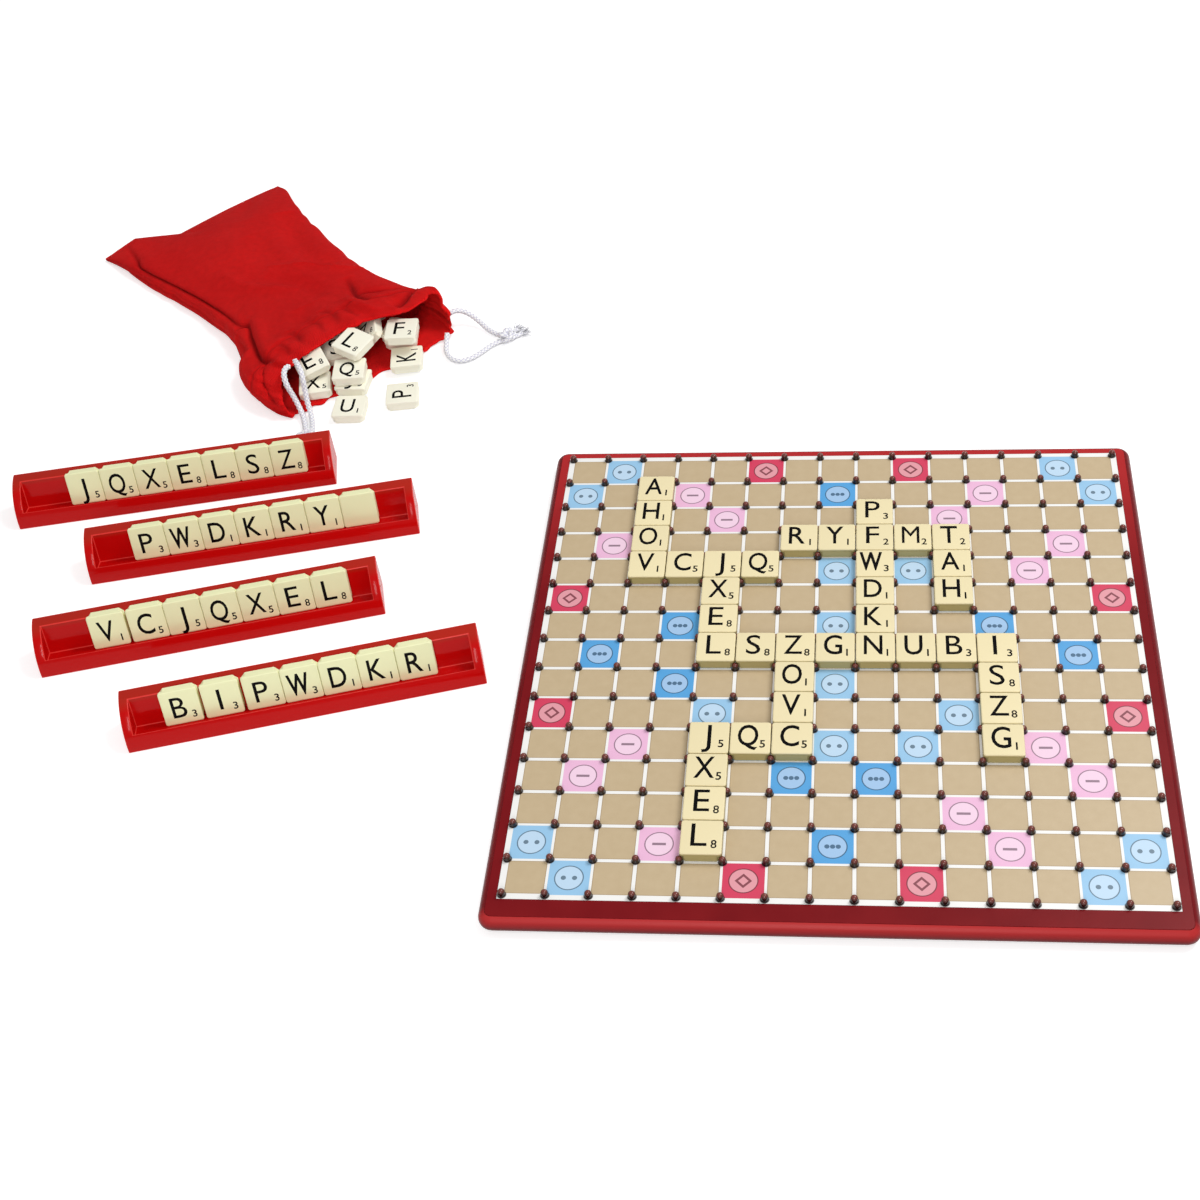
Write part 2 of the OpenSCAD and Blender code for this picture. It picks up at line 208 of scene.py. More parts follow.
class Paint:
    """One material under construction."""

    def __init__(self, name):
        self.material = bpy.data.materials.new(name)
        self.material.use_nodes = True
        self.tree = self.material.node_tree
        self.shader = self.tree.nodes["Principled BSDF"]

    def node(self, kind, settings, sockets, output=0):
        """Adds any node. Settings are set first, then its sockets, by place or by name."""
        made = self.tree.nodes.new(kind)
        for name, value in settings.items():
            setattr(made, name, value)
        named = sockets.items() if isinstance(sockets, dict) else enumerate(sockets)
        for socket, value in named:
            self.feed(made.inputs[socket], value)
        return Value(self, made.outputs[output])

    def feed(self, socket, value):
        if isinstance(value, Value):
            self.tree.links.new(value.socket, socket)
        else:
            socket.default_value = value

    def place(self):
        """Place on the object, in metres of the shared frame."""
        return self.node("ShaderNodeTexCoord", {}, {}, "Object")

    def parts(self, vector):
        split = self.node("ShaderNodeSeparateXYZ", {}, [vector]).socket.node
        return [Value(self, out) for out in split.outputs]

    def tint(self):
        """The number that each point of the mesh carries: a random tone on tiles, painted crease shade on
        the bag.
        """
        return self.node("ShaderNodeAttribute", {"attribute_name": "tint"}, {}, "Fac")

    def noise(self, place, per_metre, detail=2.0, rough=0.5):
        """Soft noise about 0.5, with per_metre spots in a metre."""
        return self.node("ShaderNodeTexNoise", {}, {
            "Vector": place, "Scale": per_metre, "Detail": detail, "Roughness": rough})

    def slope(self, value, start, end, first=0.0, last=1.0, kind="LINEAR"):
        """Goes from first to last while value goes from start to end, and stays level outside them."""
        settings = {"interpolation_type": kind}
        return self.node("ShaderNodeMapRange", settings, [value, start, end, first, last])

    def mix(self, share, first, second):
        """Colour that goes from first to second as share goes from 0 to 1."""
        return self.node("ShaderNodeMix", {"data_type": "RGBA"}, {0: share, 6: first, 7: second}, 2)

    def finish(self, height=None, depth=0.0001, **sockets):
        """Sets the shader's sockets, and bumps the surface by height times depth metres."""
        for name, value in sockets.items():
            self.feed(self.shader.inputs[name.replace("_", " ")], value)
        if height is not None:
            bump = self.node("ShaderNodeBump", {}, {"Strength": 1.0, "Distance": depth, "Height": height})
            self.feed(self.shader.inputs["Normal"], bump)
        return self.material


# %% [markdown]
# ## Moulded plastic
# The racks, the tray, the frame, the pegs and the tiles are all injection mouldings. They differ in
# colour and in gloss, not in kind: each has a faint cloudiness in the colour, a fine unevenness in the
# gloss, and the very slight orange-peel surface that moulded gloss has.

# %% Plastic finishes
ORANGE_PEEL = 0.012 * MM
GLOSS_SWING = 0.1


def moulded(paint, place, base, rough, gloss, **sockets):
    """The part that all mouldings share: uneven gloss about rough, and orange peel in the surface."""
    return paint.finish(
        height=paint.noise(place, 700, 1.0), depth=ORANGE_PEEL, Base_Color=base,
        Roughness=paint.noise(place, 1400) * GLOSS_SWING + (rough - GLOSS_SWING / 2),
        Specular_IOR_Level=gloss, **sockets)


def plastic(name, colour, rough, cloud=0.06, coat=0.0, gloss=0.3, tinted=False, foot=None):
    """Moulded plastic. cloud is how much the colour wanders, gloss how much the surface reflects. foot
    is two heights in mm and a colour, which the plastic nearly has below the first height and loses
    up to the second: light and shade painted by height, the duller top strip of the racks and the
    darker sides of the board's tiles."""
    paint = Paint(name)
    place = paint.place()
    shade = paint.noise(place, 45, 3.0)
    if tinted:
        shade = shade * 0.45 + paint.tint() * 0.55
    dark = tuple(c * (1 - cloud) for c in colour[:3]) + (1.0,)
    light = tuple(min(1.0, c * (1 + cloud)) for c in colour[:3]) + (1.0,)
    base = paint.mix(shade, dark, light)
    if foot:
        start, end, low = foot
        base = paint.mix(paint.slope(paint.parts(place)[2], start * MM, end * MM, 0.92, 0.0), base, low)
    return moulded(paint, place, base, rough, gloss, Coat_Weight=coat, Coat_Roughness=0.08)


# The racks are one red plastic. Their top strip above 16.5 mm is painted a duller, browner red: painted
# light on the face that looks up.
RACK_RED = plastic("rack_red", linear(178, 38, 26), 0.26, cloud=0.05, coat=0.18, gloss=0.04,
                   foot=(14.5, 16.5, linear(197, 3, 6)))
# The racks' bevels get a lighter red: a painted highlight along the edges.
RACK_PAINTED_EDGE_HIGHLIGHT = plastic("rack_painted_edge_highlight", linear(222, 54, 48), 0.3, cloud=0.05, gloss=0.2)
PLATE_BROWN = plastic("plate_brown", linear(120, 72, 52), 0.5)
# The tiles are one cream plastic. The rack and bag tiles are painted lighter than the board's, painted
# light, and the board tiles' sides below 12.1 mm are painted a darker tan, painted shade.
RACK_TILES_PAINTED_LIGHTER = plastic("tile_cream", linear(245, 245, 196), 0.36, cloud=0.03, tinted=True)
BAG_TILES_PAINTED_LIGHTER = plastic("bag_tile_cream", linear(252, 249, 230), 0.36, cloud=0.02, tinted=True)
BOARD_TILES_PAINTED_SHADE = plastic("board_tile_cream", linear(238, 224, 180), 0.36, cloud=0.035, tinted=True,
                           foot=(12.1, 12.4, linear(172, 158, 104)))

# %% [markdown]
# The frame and the tray are the same plastic in a darker red. Light and shade are painted into them
# by place: the frame is painted lighter towards the far side, a painted highlight, and the tray's near
# side gets a painted light band above and painted shade below. The pegs are painted from near black
# to a warm brown on their domes: painted shade and a painted highlight.

# %% Frame, tray and peg finishes
# Where in y the frame's painted highlight starts and where it is full
FRAME_LIGHTENS = (30 * MM, 135 * MM)
# Heights over which the pegs' painted highlight grows from near black to warm brown
DOME = (9.8 * MM, 11.1 * MM)


def frame_finish():
    """Dark red, painted lighter with y, the distance from the player: a painted highlight towards the far
    side.
    """
    paint = Paint("frame_red")
    place = paint.place()
    share = paint.slope(paint.parts(place)[1], *FRAME_LIGHTENS, kind="SMOOTHSTEP")
    base = paint.mix(share * 0.8 + paint.noise(place, 60) * 0.25, linear(111, 13, 20), linear(184, 44, 46))
    return moulded(paint, place, base, 0.35, 0.1)


def tray_finish():
    """Dark red. The side towards the player is painted lighter on its upper half, a painted highlight,
    and painted darker towards the table, painted shade."""
    paint = Paint("tray_red")
    place = paint.place()
    _, away, up = paint.parts(place)
    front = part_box("base_tray")[0][1]
    near = paint.slope(away, front + 3 * MM, front + 7 * MM, 1.0, 0.0)
    base = paint.mix(paint.noise(place, 60) * 0.25, linear(112, 17, 23), linear(136, 25, 30))
    # Painted shade low on the near side, and a painted light band above it.
    below = paint.mix(paint.slope(up, 0.5 * MM, 4.5 * MM), linear(82, 10, 14), linear(114, 20, 25))
    band = paint.mix(paint.slope(up, 4 * MM, 6.8 * MM), below, linear(181, 47, 48))
    return moulded(paint, place, paint.mix(near, base, band), 0.35, 0.12)


def peg_finish():
    """Dark brown gloss, painted near black low down and a warm brown on the dome: painted shade and a
    painted highlight that follow the height over the table.
    """
    paint = Paint("peg_brown")
    place = paint.place()
    dome = paint.slope(paint.parts(place)[2], *DOME)
    return paint.finish(
        height=paint.noise(place, 900, 1.0), depth=0.01 * MM,
        Base_Color=paint.mix(dome, linear(26, 8, 8), linear(124, 62, 52)),
        Roughness=paint.noise(place, 900) * 0.1 + 0.2, Specular_IOR_Level=0.5)


FRAME_RED, TRAY_RED, PEG_BROWN = frame_finish(), tray_finish(), peg_finish()

# %% [markdown]
# ## Printed playing sheet
# The sheet is a varnished print: tan squares between white lines, and coloured bonus squares. The
# drawing is a sum on the place: divide by the square's size, round down for the number of the square
# and keep the rest for the place within it. The bonus squares are set by how far a square is from the
# middle, sideways and lengthwise, which makes the layout the same in all eight directions. Each colour
# has its own plain sign in a ring.

# %% Sheet finish
CELL = 16.25 * MM
CELLS = 15
GRID_Y = 2.4 * MM
# Half a plain square, where its dark outline starts, and half a bonus square, in shares of a cell
SQUARE, OUTLINE, BONUS_SQUARE = 0.456, 0.438, 0.482
# The ring round a sign, the pips, the dash and the diamond's outer and inner half width, also in cells
RING_R, RING_W, PIP_R, PIP_X = 0.33, 0.014, 0.06, 0.13
DASH_L, DASH_W, DIAMOND, DIAMOND_HOLE = 0.16, 0.035, 0.2, 0.12
# The dark ring painted round each peg, a painted shadow at its foot, and how far the outermost pegs' rings
# reach
PEG_SHADOW_R = 1.8 * MM
PEG_SHADOWS_REACH = CELLS / 2 * CELL + 2 * MM
# Bonus squares: colour, and places as the longer and the shorter way from the middle, in squares
BONUS = {
    "crimson": (linear(214, 58, 92), [(7, 2)]),
    "pink": (linear(238, 186, 218), [(6, 4), (5, 3)]),
    "sky": (linear(152, 199, 233), [(7, 6), (3, 2), (1, 0), (3, 0)]),
    "blue": (linear(84, 164, 222), [(6, 0), (4, 1)]),
}


def sheet_finish():
    """Squares, lines and bonus squares of the print, each a mask that is 1 inside and 0 outside."""
    paint = Paint("printed_card")
    place = paint.place()
    x, y, _ = paint.parts(place)
    column, row = x / CELL + CELLS / 2, (y - GRID_Y) / CELL + CELLS / 2
    far_x, far_y = abs(column.floor() - (CELLS - 1) / 2), abs(row.floor() - (CELLS - 1) / 2)
    most, least = far_x.most(far_y), far_x.least(far_y)
    # Distances from the middle of the square
    across, upward = abs(column - column.floor() - 0.5), abs(row - row.floor() - 0.5)
    edge = across.most(upward)
    on_grid = most < CELLS / 2
    square = (edge < SQUARE) * on_grid
    tan = paint.mix(paint.noise(place, 260, 4.0), linear(192, 170, 134), linear(202, 181, 146))
    colour = paint.mix(square, linear(244, 243, 240), tan)
    colour = paint.mix((edge > OUTLINE) * square * 0.55, colour, linear(150, 124, 92))
    radius = (across * across + upward * upward).root()
    ring, disc = radius.close_to(RING_R, RING_W), radius < RING_R
    beside = across - PIP_X
    pips = (beside * beside + upward * upward).root() < PIP_R
    diamond = ((across + upward) < DIAMOND) * (1 - ((across + upward) < DIAMOND_HOLE))
    dash = (across < DASH_L) * (upward < DASH_W)
    signs = {"crimson": diamond, "pink": dash, "sky": pips, "blue": (pips + (radius < PIP_R)).least(1.0)}
    for name, (hue, places) in BONUS.items():
        matches = [most.close_to(a, 0.4) * least.close_to(b, 0.4) for a, b in places]
        here = (edge < BONUS_SQUARE) * on_grid * sum(matches[1:], matches[0])
        pale = tuple(c + (1 - c) * 0.3 for c in hue[:3]) + (1.0,)
        deep = tuple(c * 0.22 for c in hue[:3]) + (1.0,)
        colour = paint.mix(here, colour, hue)
        colour = paint.mix(here * disc, colour, pale)
        colour = paint.mix(here * (ring + signs[name]).least(1.0) * 0.85, colour, deep)
    # A dark ring is painted round each peg: painted shadow at the peg's foot.
    side, end = 0.5 - across, 0.5 - upward
    inside = (abs(x) < PEG_SHADOWS_REACH) * (abs(y - GRID_Y) < PEG_SHADOWS_REACH)
    peg_shadow = ((side * side + end * end).root() < PEG_SHADOW_R / CELL) * inside
    colour = paint.mix(peg_shadow * 0.8, colour, linear(48, 30, 26))
    return paint.finish(
        height=paint.noise(place, 500, 2.0), depth=0.01 * MM,
        Base_Color=colour, Roughness=paint.noise(place, 200) * 0.12 + 0.36)


PRINTED_CARD = sheet_finish()

# %% [markdown]
# ## Red cotton, white cord and black ink
# The bag is plain woven cotton: threads cross over and under, which shows as a fine check in the bump
# and in the colour. Its place comes from the cloth's own map in metres, so the threads follow the
# folds, and the grooves are painted darker: painted shade. The cord is braided: its surface is a
# lattice of slanted plaits, with painted shade in the grooves between them.

# %% Cloth finishes
THREAD_L, PLAIT_L = 0.9 * MM, 2.2 * MM


def cotton():
    """Plain weave: height is sin(u) times sin(v) of the thread places, with slubs from noise."""
    paint = Paint("red_cotton")
    u, v, _ = paint.parts(paint.node("ShaderNodeUVMap", {"uv_map": "Cloth"}, {}))
    place = paint.place()
    thread = 2 * math.pi / THREAD_L
    check = (u * thread).sine() * (v * thread).sine()
    slub = paint.noise(place, 320, 4.0, 0.6)
    worn = paint.noise(place, 28, 3.0)
    base = paint.mix(worn, linear(218, 15, 19), linear(255, 33, 31))
    base = paint.mix(slub * 0.6 + check * 0.1, base, linear(188, 7, 12))
    # Painted shade: the creases and the casing's stitched groove are painted darker.
    base = paint.mix(paint.tint(), base, linear(104, 2, 8))
    return paint.finish(
        height=check * 0.5 + slub, depth=0.4 * MM,
        Base_Color=base, Roughness=slub * 0.15 + 0.78,
        Sheen_Weight=0.05, Sheen_Roughness=0.5, Sheen_Tint=linear(255, 120, 110), Specular_IOR_Level=0.08)


def braid_cord():
    """White braid: two sets of slanted plaits, |sin(2a + kv) sin(2a - kv)| as in the tube's own swell,
    and fine fibres across them. The cord's map has u from 0 to 1 round it and v in metres along it."""
    paint = Paint("white_cord")
    u, v, _ = paint.parts(paint.node("ShaderNodeUVMap", {"uv_map": "Cloth"}, {}))
    fibre = paint.noise(paint.place(), 2600, 3.0, 0.7)
    run = v / PLAIT_L
    plait = abs(((u * 4 + run) * math.pi).sine() * ((u * 4 - run) * math.pi).sine())
    # The grooves between the plaits are painted a darker grey-blue: painted shade. The fibres vary at
    # random.
    return paint.finish(
        height=fibre * 0.3 + plait * 0.7, depth=0.22 * MM,
        Base_Color=paint.mix(fibre * 0.3 + plait * 1.5 + 0.1, linear(188, 186, 214), linear(255, 255, 255)),
        Roughness=fibre * 0.2 + 0.7, Sheen_Weight=0.1, Specular_IOR_Level=0.2)


def ink():
    """Black print with the slight grey unevenness of hot stamping."""
    paint = Paint("black_ink")
    wear = paint.noise(paint.place(), 900, 3.0)
    return paint.finish(
        Base_Color=paint.mix(wear, linear(4, 4, 5), linear(16, 15, 15)), Roughness=wear * 0.2 + 0.45,
        Specular_IOR_Level=0.06)


RED_COTTON, WHITE_CORD, BLACK_INK = cotton(), braid_cord(), ink()

# %% [markdown]
# ## Drawstrings
# Two braided cords run through the hem of the bag and come out at its sides, and each side's two
# strands are tied in a knot with frayed ends. A cord is a ring of points carried along a route, kept
# level by taking its side direction from the route and from straight up. The plaits are real: the
# radius rises and falls in a slanted lattice.

# %% A tube along a route
CORD_D = 3 * MM


def smooth_route(points, steps):
    """Catmull-Rom curve: from p1 to p2 it is the cubic whose end slopes are (p2 - p0)/2 and (p3 - p1)/2."""
    p = np.asarray(points, float)
    p = np.concatenate([[2 * p[0] - p[1]], p, [2 * p[-1] - p[-2]]])
    t = np.linspace(0, len(p) - 3, steps)
    i = np.minimum(t.astype(int), len(p) - 4)
    f = (t - i)[:, None]
    a, b, c, d = p[i], p[i + 1], p[i + 2], p[i + 3]
    bend, twist = 2 * a - 5 * b + 4 * c - d, 3 * b - a - 3 * c + d
    return 0.5 * (2 * b + (c - a) * f + bend * f ** 2 + twist * f ** 3)


def along(route):
    """Distance from the route's start to each of its points."""
    return np.concatenate([[0], np.cumsum(np.linalg.norm(np.diff(route, axis=0), axis=1))])


def tube(route, radius, sides, plait=0.0, closed=False):
    """Rings round a route: point = centre + r (side cos a + up sin a). With plait, r swells where two
    slanted lattices meet: r = radius (1 - plait + plait |sin(2a + ks) sin(2a - ks)|)."""
    ahead = np.roll(route, -1, 0) - np.roll(route, 1, 0) if closed else np.gradient(route, axis=0)
    ahead /= np.linalg.norm(ahead, axis=1)[:, None]
    side = np.cross(ahead, [0, 0, 1.0])
    side /= np.maximum(np.linalg.norm(side, axis=1), 1e-9)[:, None]
    up = np.cross(side, ahead)
    a = 2 * np.pi * np.arange(sides) / sides
    run = along(route)[:, None]
    wave = 2 * np.pi / PLAIT_L
    swell = np.abs(np.sin(2 * a + wave * run / 2) * np.sin(2 * a - wave * run / 2))
    r = (np.reshape(radius, (-1, 1)) * (1 - plait + plait * swell))[..., None]
    points = route[:, None] + r * (side[:, None] * np.cos(a)[:, None] + up[:, None] * np.sin(a)[:, None])
    uv = np.stack(np.broadcast_arrays(a / (2 * np.pi), run), -1)
    return points.reshape(-1, 3), uv.reshape(-1, 2)


# %% The four strands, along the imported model's own routes
STRANDS = {
    "right_strand_upper": [
        (-198.9, 238.6, 9.4), (-196, 241, 9), (-192.4, 242.4, 7.4), (-188, 241.6, 5), (-183.8, 238.8, 3),
        (-180, 235.2, 1.9), (-176, 231.8, 1.6), (-171.4, 229.2, 1.6)],
    "right_strand_lower": [
        (-198.6, 226, 6), (-198.8, 221.5, 3.4), (-198, 216, 1.8), (-194.6, 210.8, 1.6),
        (-189.6, 208.8, 1.6), (-184.4, 211, 1.6), (-180.2, 215.4, 1.6), (-176, 220.8, 1.6),
        (-171.2, 224.8, 1.6)],
    "left_strand_outer": [
        (-269.9, 185.5, 18.2), (-270.8, 182.3, 18.9), (-270.5, 178.1, 18.2), (-269.2, 175.1, 14.6),
        (-267.6, 174.3, 10.2), (-265.1, 171.7, 6), (-262.4, 167.3, 2.6), (-260.2, 161.5, 1.6),
        (-258.7, 156.5, 1.6), (-258.3, 152.8, 1.6)],
    "left_strand_inner": [
        (-266.8, 188, 19.6), (-264.4, 184, 20), (-262.2, 180, 19), (-261.1, 176.9, 15.8),
        (-260.9, 175.4, 11.4), (-260.2, 172.7, 7), (-258.6, 168.7, 3), (-256.7, 163.1, 1.6),
        (-255.4, 157.2, 1.6), (-255, 152.8, 1.6)],
}
KNOT_UP = 3.2
KNOTS = {"right": ((-168.2, 227.1, KNOT_UP), 45), "left": ((-256.7, 149.6, KNOT_UP), -85)}
STRAND_RINGS, STRAND_SIDES, LOOP_RINGS, TAIL_RINGS, KNOT_SIDES = 160, 20, 90, 14, 10
LOOP_SIZE, LOOP_R, TAIL_R = (1.25 * MM, 1.15 * MM, 1.5525 * MM), 1.45 * MM, 1.42 * MM
# The tails' whole length, where their fibres start, half the gap between them, and their middle's height
TAIL_L, FRAY_X, TAIL_GAP, TAIL_UP = 12 * MM, 7.2 * MM, 1.8 * MM, 1.55 * MM
FIBRES, FIBRE_R, FIBRE_SPREAD = 26, (0.26 * MM, 0.12 * MM), 0.75 * MM


def knot_shape(place, turn):
    """Overhand knot as a trefoil loop, ((2 + cos 3t) cos 2t, (2 + cos 3t) sin 2t, sin 3t), with the two
    cut ends behind it, each opened into fine fibres."""
    t = np.linspace(0, 2 * np.pi, LOOP_RINGS, endpoint=False)
    out = 2 + np.cos(3 * t)
    loop = np.stack([out * np.cos(2 * t), out * np.sin(2 * t), np.sin(3 * t)], -1) * LOOP_SIZE
    shapes, uvs = [], []

    def add(route, radius, sides, plait=0.0, closed=False):
        points, uv = tube(route, radius, sides, plait, closed)
        faces = tube_faces(len(route), sides, closed)
        shapes.append((points, faces, [0] * len(faces)))
        uvs.append(uv)

    add(loop, LOOP_R, KNOT_SIDES, 0.12, closed=True)
    rng = np.random.default_rng(7)
    low = TAIL_UP - KNOT_UP * MM
    for s in (-1, 1):
        beside, kink = s * TAIL_GAP * 1.15, 0.8 * MM
        bend = [(1.5 * MM, s * kink, low + kink), (4 * MM, s * TAIL_GAP, low), (7.8 * MM, beside, low)]
        add(smooth_route(bend, TAIL_RINGS), TAIL_R, KNOT_SIDES, 0.12)
        for _ in range(FIBRES):
            spread = rng.normal(0, FIBRE_SPREAD, 2)
            start = np.array([FRAY_X, beside + spread[0], low + spread[1] * 0.7])
            reach = TAIL_L - FRAY_X + rng.uniform(-1.6, 0.6) * MM
            end = start + [reach, spread[0] * 1.8, spread[1] * 0.6]
            end[2] = max(end[2], low - 1.1 * MM)
            middle = (start + end) / 2 + rng.normal(0, 0.35 * MM, 3)
            add(smooth_route([start, middle, end], 6), np.linspace(*FIBRE_R, 6), 4)
    points, faces, _, _ = joined(shapes)
    return moved(spot(*place, turn=turn), points), faces, np.concatenate(uvs)


for side, (place, turn) in KNOTS.items():
    points, faces, uv = knot_shape(place, turn)
    knot = piece(f"{side}_knot_tied", points, faces, [WHITE_CORD], uv=uv, sharp=60)
    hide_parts(f"{side}_knot")
    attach(knot, "bag")
    for name in [strand for strand in STRANDS if strand.startswith(side)]:
        path = smooth_route(np.array(STRANDS[name]) * MM, STRAND_RINGS)
        points, uv = tube(path, CORD_D / 2, STRAND_SIDES, 0.25)
        strand = piece(name, points, tube_faces(STRAND_RINGS, STRAND_SIDES), [WHITE_CORD], uv=uv, sharp=0)
        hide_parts(f"{side}_drawstring")
        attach(strand, "bag")

# %% [markdown]
# ## Letter tiles
# One tile is a stack of outlines: the foot's square with its corners cut off to clear the pegs, then
# the face plate's square with small round corners, drawn in at the top for a rounded edge. All have as
# many points, so that neighbours join up as a grid. The letter is real print: a text curve made into a
# mesh a fiftieth of a millimetre high.

# %% The tile's body
TILE_W, TILE_T, FACE_T, FOOT_CUT = 15.85 * MM, 4.8 * MM, 1.5 * MM, 1.9 * MM
CORNER_STEPS = 6
FACE_CORNER, TOP_ROUND = MM, 0.5 * MM


def outline(half, corner, cut=False):
    """Square whose corners are quarter circles, centre + r (cos a, sin a), or are cut off straight."""
    a = np.linspace(0, np.pi / 2, CORNER_STEPS)
    bow = [1 - a / a[-1], a / a[-1]] if cut else [np.cos(a), np.sin(a)]
    first = half - corner + corner * np.stack(bow, -1)
    turns = ((1, 0), (0, 1), (-1, 0), (0, -1))
    return np.concatenate([first @ [[c, s], [-s, c]] for c, s in turns])


def tile_body():
    """Rings from the foot's underside to the face, closed by a flat cap at each end."""
    half, foot = TILE_W / 2, TILE_T - FACE_T
    rings = [(z, outline(half - inset * MM, FOOT_CUT, True)) for z, inset in (
        (0, 0.25), (0.25 * MM, 0), (foot - 0.05 * MM, 0), (foot, 0.02))]
    rings += [(foot + 0.02 * MM, outline(half - 0.1 * MM, FACE_CORNER)),
              (foot + 0.12 * MM, outline(half, FACE_CORNER))]
    for a in np.linspace(0, np.pi / 2, 5):
        inset, rise = TOP_ROUND * (1 - math.cos(a)), TOP_ROUND * math.sin(a)
        rings.append((TILE_T - TOP_ROUND + rise, outline(half - inset, FACE_CORNER - inset * 0.6)))
    columns = 4 * CORNER_STEPS
    points = np.concatenate([np.column_stack([ring, np.full(columns, z)]) for z, ring in rings])
    return points, tube_faces(len(rings), columns)


# %% The print on a tile
INK_T = 0.02 * MM
# Height of the letter and of the number, and how far the letter sits above the tile's middle
RACK_PRINT = (9.8 * MM, 3.3 * MM, 0.1 * MM)
BOARD_PRINT = (10.6 * MM, 3.7 * MM, 1.1 * MM)
# Furthest right and wanted middle of letter and number, and the number's drop in its own heights
LETTER_X, NUMBER_X, NUMBER_DROP = (3.1 * MM, -0.9 * MM), (6.0 * MM, 4.8 * MM), 0.24
# How much bolder than the plain font. M's outline would cross itself, W is narrowed most of all, and
# letters that keep their own width hardly need it.
BOLDER = {"M": 0, "W": 0.024, "1": 0.016, "2": 0.016, "3": 0.016, "5": 0.016, "8": 0.012}
BOLDER.update({letter: 0.001 for letter in "BEFIJLPSZ"})
NUMBERS = (1, 2, 1, 3, 1, 8, 5)
glyphs = {}


def glyph(sign):
    """A letter or number as points and faces, 1 high, its left side at 0 and its foot at 0."""
    if sign not in glyphs:
        curve = bpy.data.curves.new("glyph", "FONT")
        curve.body, curve.extrude, curve.resolution_u = sign, 0.01, 4
        curve.offset = BOLDER.get(sign, 0.007)
        holder = bpy.data.objects.new("glyph", curve)
        mesh = bpy.data.meshes.new_from_object(holder)
        points = np.zeros(len(mesh.vertices) * 3)
        mesh.vertices.foreach_get("co", points)
        points = points.reshape(-1, 3)
        glyphs[sign] = (points, [list(f.vertices) for f in mesh.polygons])
        bpy.data.objects.remove(holder)
        bpy.data.meshes.remove(mesh)
        bpy.data.curves.remove(curve)
    return glyphs[sign]


CAP_UNIT = float(np.ptp(glyph("H")[0][:, 1]))
TILE_BODY = tile_body()


def printed(sign, height, right, centre, foot):
    """The glyph at its height as thin solid print. It is centred at centre, or ends at right if that comes
    first. The font is wider than the real print, so a share q of the height becomes 0.7 (q / 0.9)^0.45."""
    points, faces = glyph(sign)
    flat = points[:, :2] * height / CAP_UNIT
    share = np.ptp(flat[:, 0]) / height
    flat[:, 0] *= min(1, 0.7 * (share / 0.9) ** 0.45 / share)
    low, high = flat[:, 0].min(), flat[:, 0].max()
    shift = min(centre - (low + high) / 2, right - high)
    z = TILE_T - INK_T / 2 + (points[:, 2] > 0) * INK_T
    return np.column_stack([flat[:, 0] + shift, flat[:, 1] + foot, z]), faces


def tile(letter, size):
    """A tile face up at the origin: body in finish 0, print in finish 1, the number at the lower right."""
    body, faces = TILE_BODY
    shapes = [(body, faces, [0] * len(faces))]
    if letter != " ":
        number = NUMBERS[(ord(letter) - ord("A")) * 3 % len(NUMBERS)]
        cap, digit, lift = size
        foot = -cap / 2 + lift
        for mark in (printed(letter, cap, *LETTER_X, foot),
                     printed(str(number), digit, *NUMBER_X, foot - NUMBER_DROP * digit)):
            shapes.append((*mark, [1] * len(mark[1])))
    points, faces, finishes, _ = joined(shapes)
    return points, faces, finishes


LETTERS = [chr(65 + 7 * n % 26) for n in range(26)]


def tiles_piece(name, places, first, body, node, cream, size=RACK_PRINT, blank=None):
    """Tiles at the given matrices as one object; letters count on from number first."""
    shapes = []
    for n, matrix in enumerate(places):
        letter = " " if n == blank else LETTERS[(first + n) % 26]
        points, faces, finishes = tile(letter, size)
        shapes.append((moved(matrix, points), faces, finishes))
    points, faces, finishes, number = joined(shapes)
    rng = np.random.default_rng(first + 1)
    made = piece(name, points, faces, [cream, BLACK_INK], finishes, tint=rng.random(len(shapes))[number])
    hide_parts(node)
    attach(made, body)
    print(f"{name}: {len(shapes)} tiles, {np.ptp(points[:, 2]) / MM:.1f} mm high")
    return made


# %% Tiles on the board
BOARD_H, GAP = 8, 0.03
RIGHT, DOWN = (1, 0), (0, 1)
# Column and row of each run's first square, its direction, and the steps that have a tile of the run
RUNS = [
    (3, 2, DOWN, range(4)), (4, 5, RIGHT, range(3)), (5, 6, DOWN, range(2)), (5, 8, RIGHT, range(8)),
    (9, 3, DOWN, (0, 2, 3, 4)), (7, 4, RIGHT, range(5)), (11, 5, DOWN, range(2)),
    (7, 9, DOWN, range(3)), (5, 11, RIGHT, range(2)), (5, 12, DOWN, range(3)), (12, 9, DOWN, range(3))]
square = CELL / MM
count = 0
for number, (column, row, (right, down), steps) in enumerate(RUNS, 1):
    places = [spot((column + right * s - 0.5 - CELLS / 2) * square,
                   GRID_Y / MM + (CELLS / 2 - row - down * s + 0.5) * square, BOARD_H + GAP) for s in steps]
    tiles_piece(f"tiles_run_{number}", places, count, f"run_{number}", f"board_tiles_{number}",
                BOARD_TILES_PAINTED_SHADE, BOARD_PRINT)
    count += len(steps)

# %% Tiles in the racks
# Each rack's place and turn on the table, where its row starts in the pocket, and the gaps before tiles
RACKS = [(-308.9, 103.4, 11.6), (-262.5, 67.8, 12.6), (-268.3, 13.8, 14.9), (-217.1, -27.2, 15.3)]
ROW_START = [21.9, 17, 20.4, 13]
ROW_GAPS = [[0] * 7, [0] * 7, [0, 0.9, 0.9, 0.9, 0.9, 0.9, 0.9], [0, 1, 2.2, 2.2, 2.2, 2.2, 2.2]]
POCKET_L, POCKET_Y, POCKET_Z, LEAN = 142.2, 10.7, 3.6, 16.5
SIDE = TILE_W / MM
TILE_STEP = SIDE + 0.12
BLANK = (2, 7)
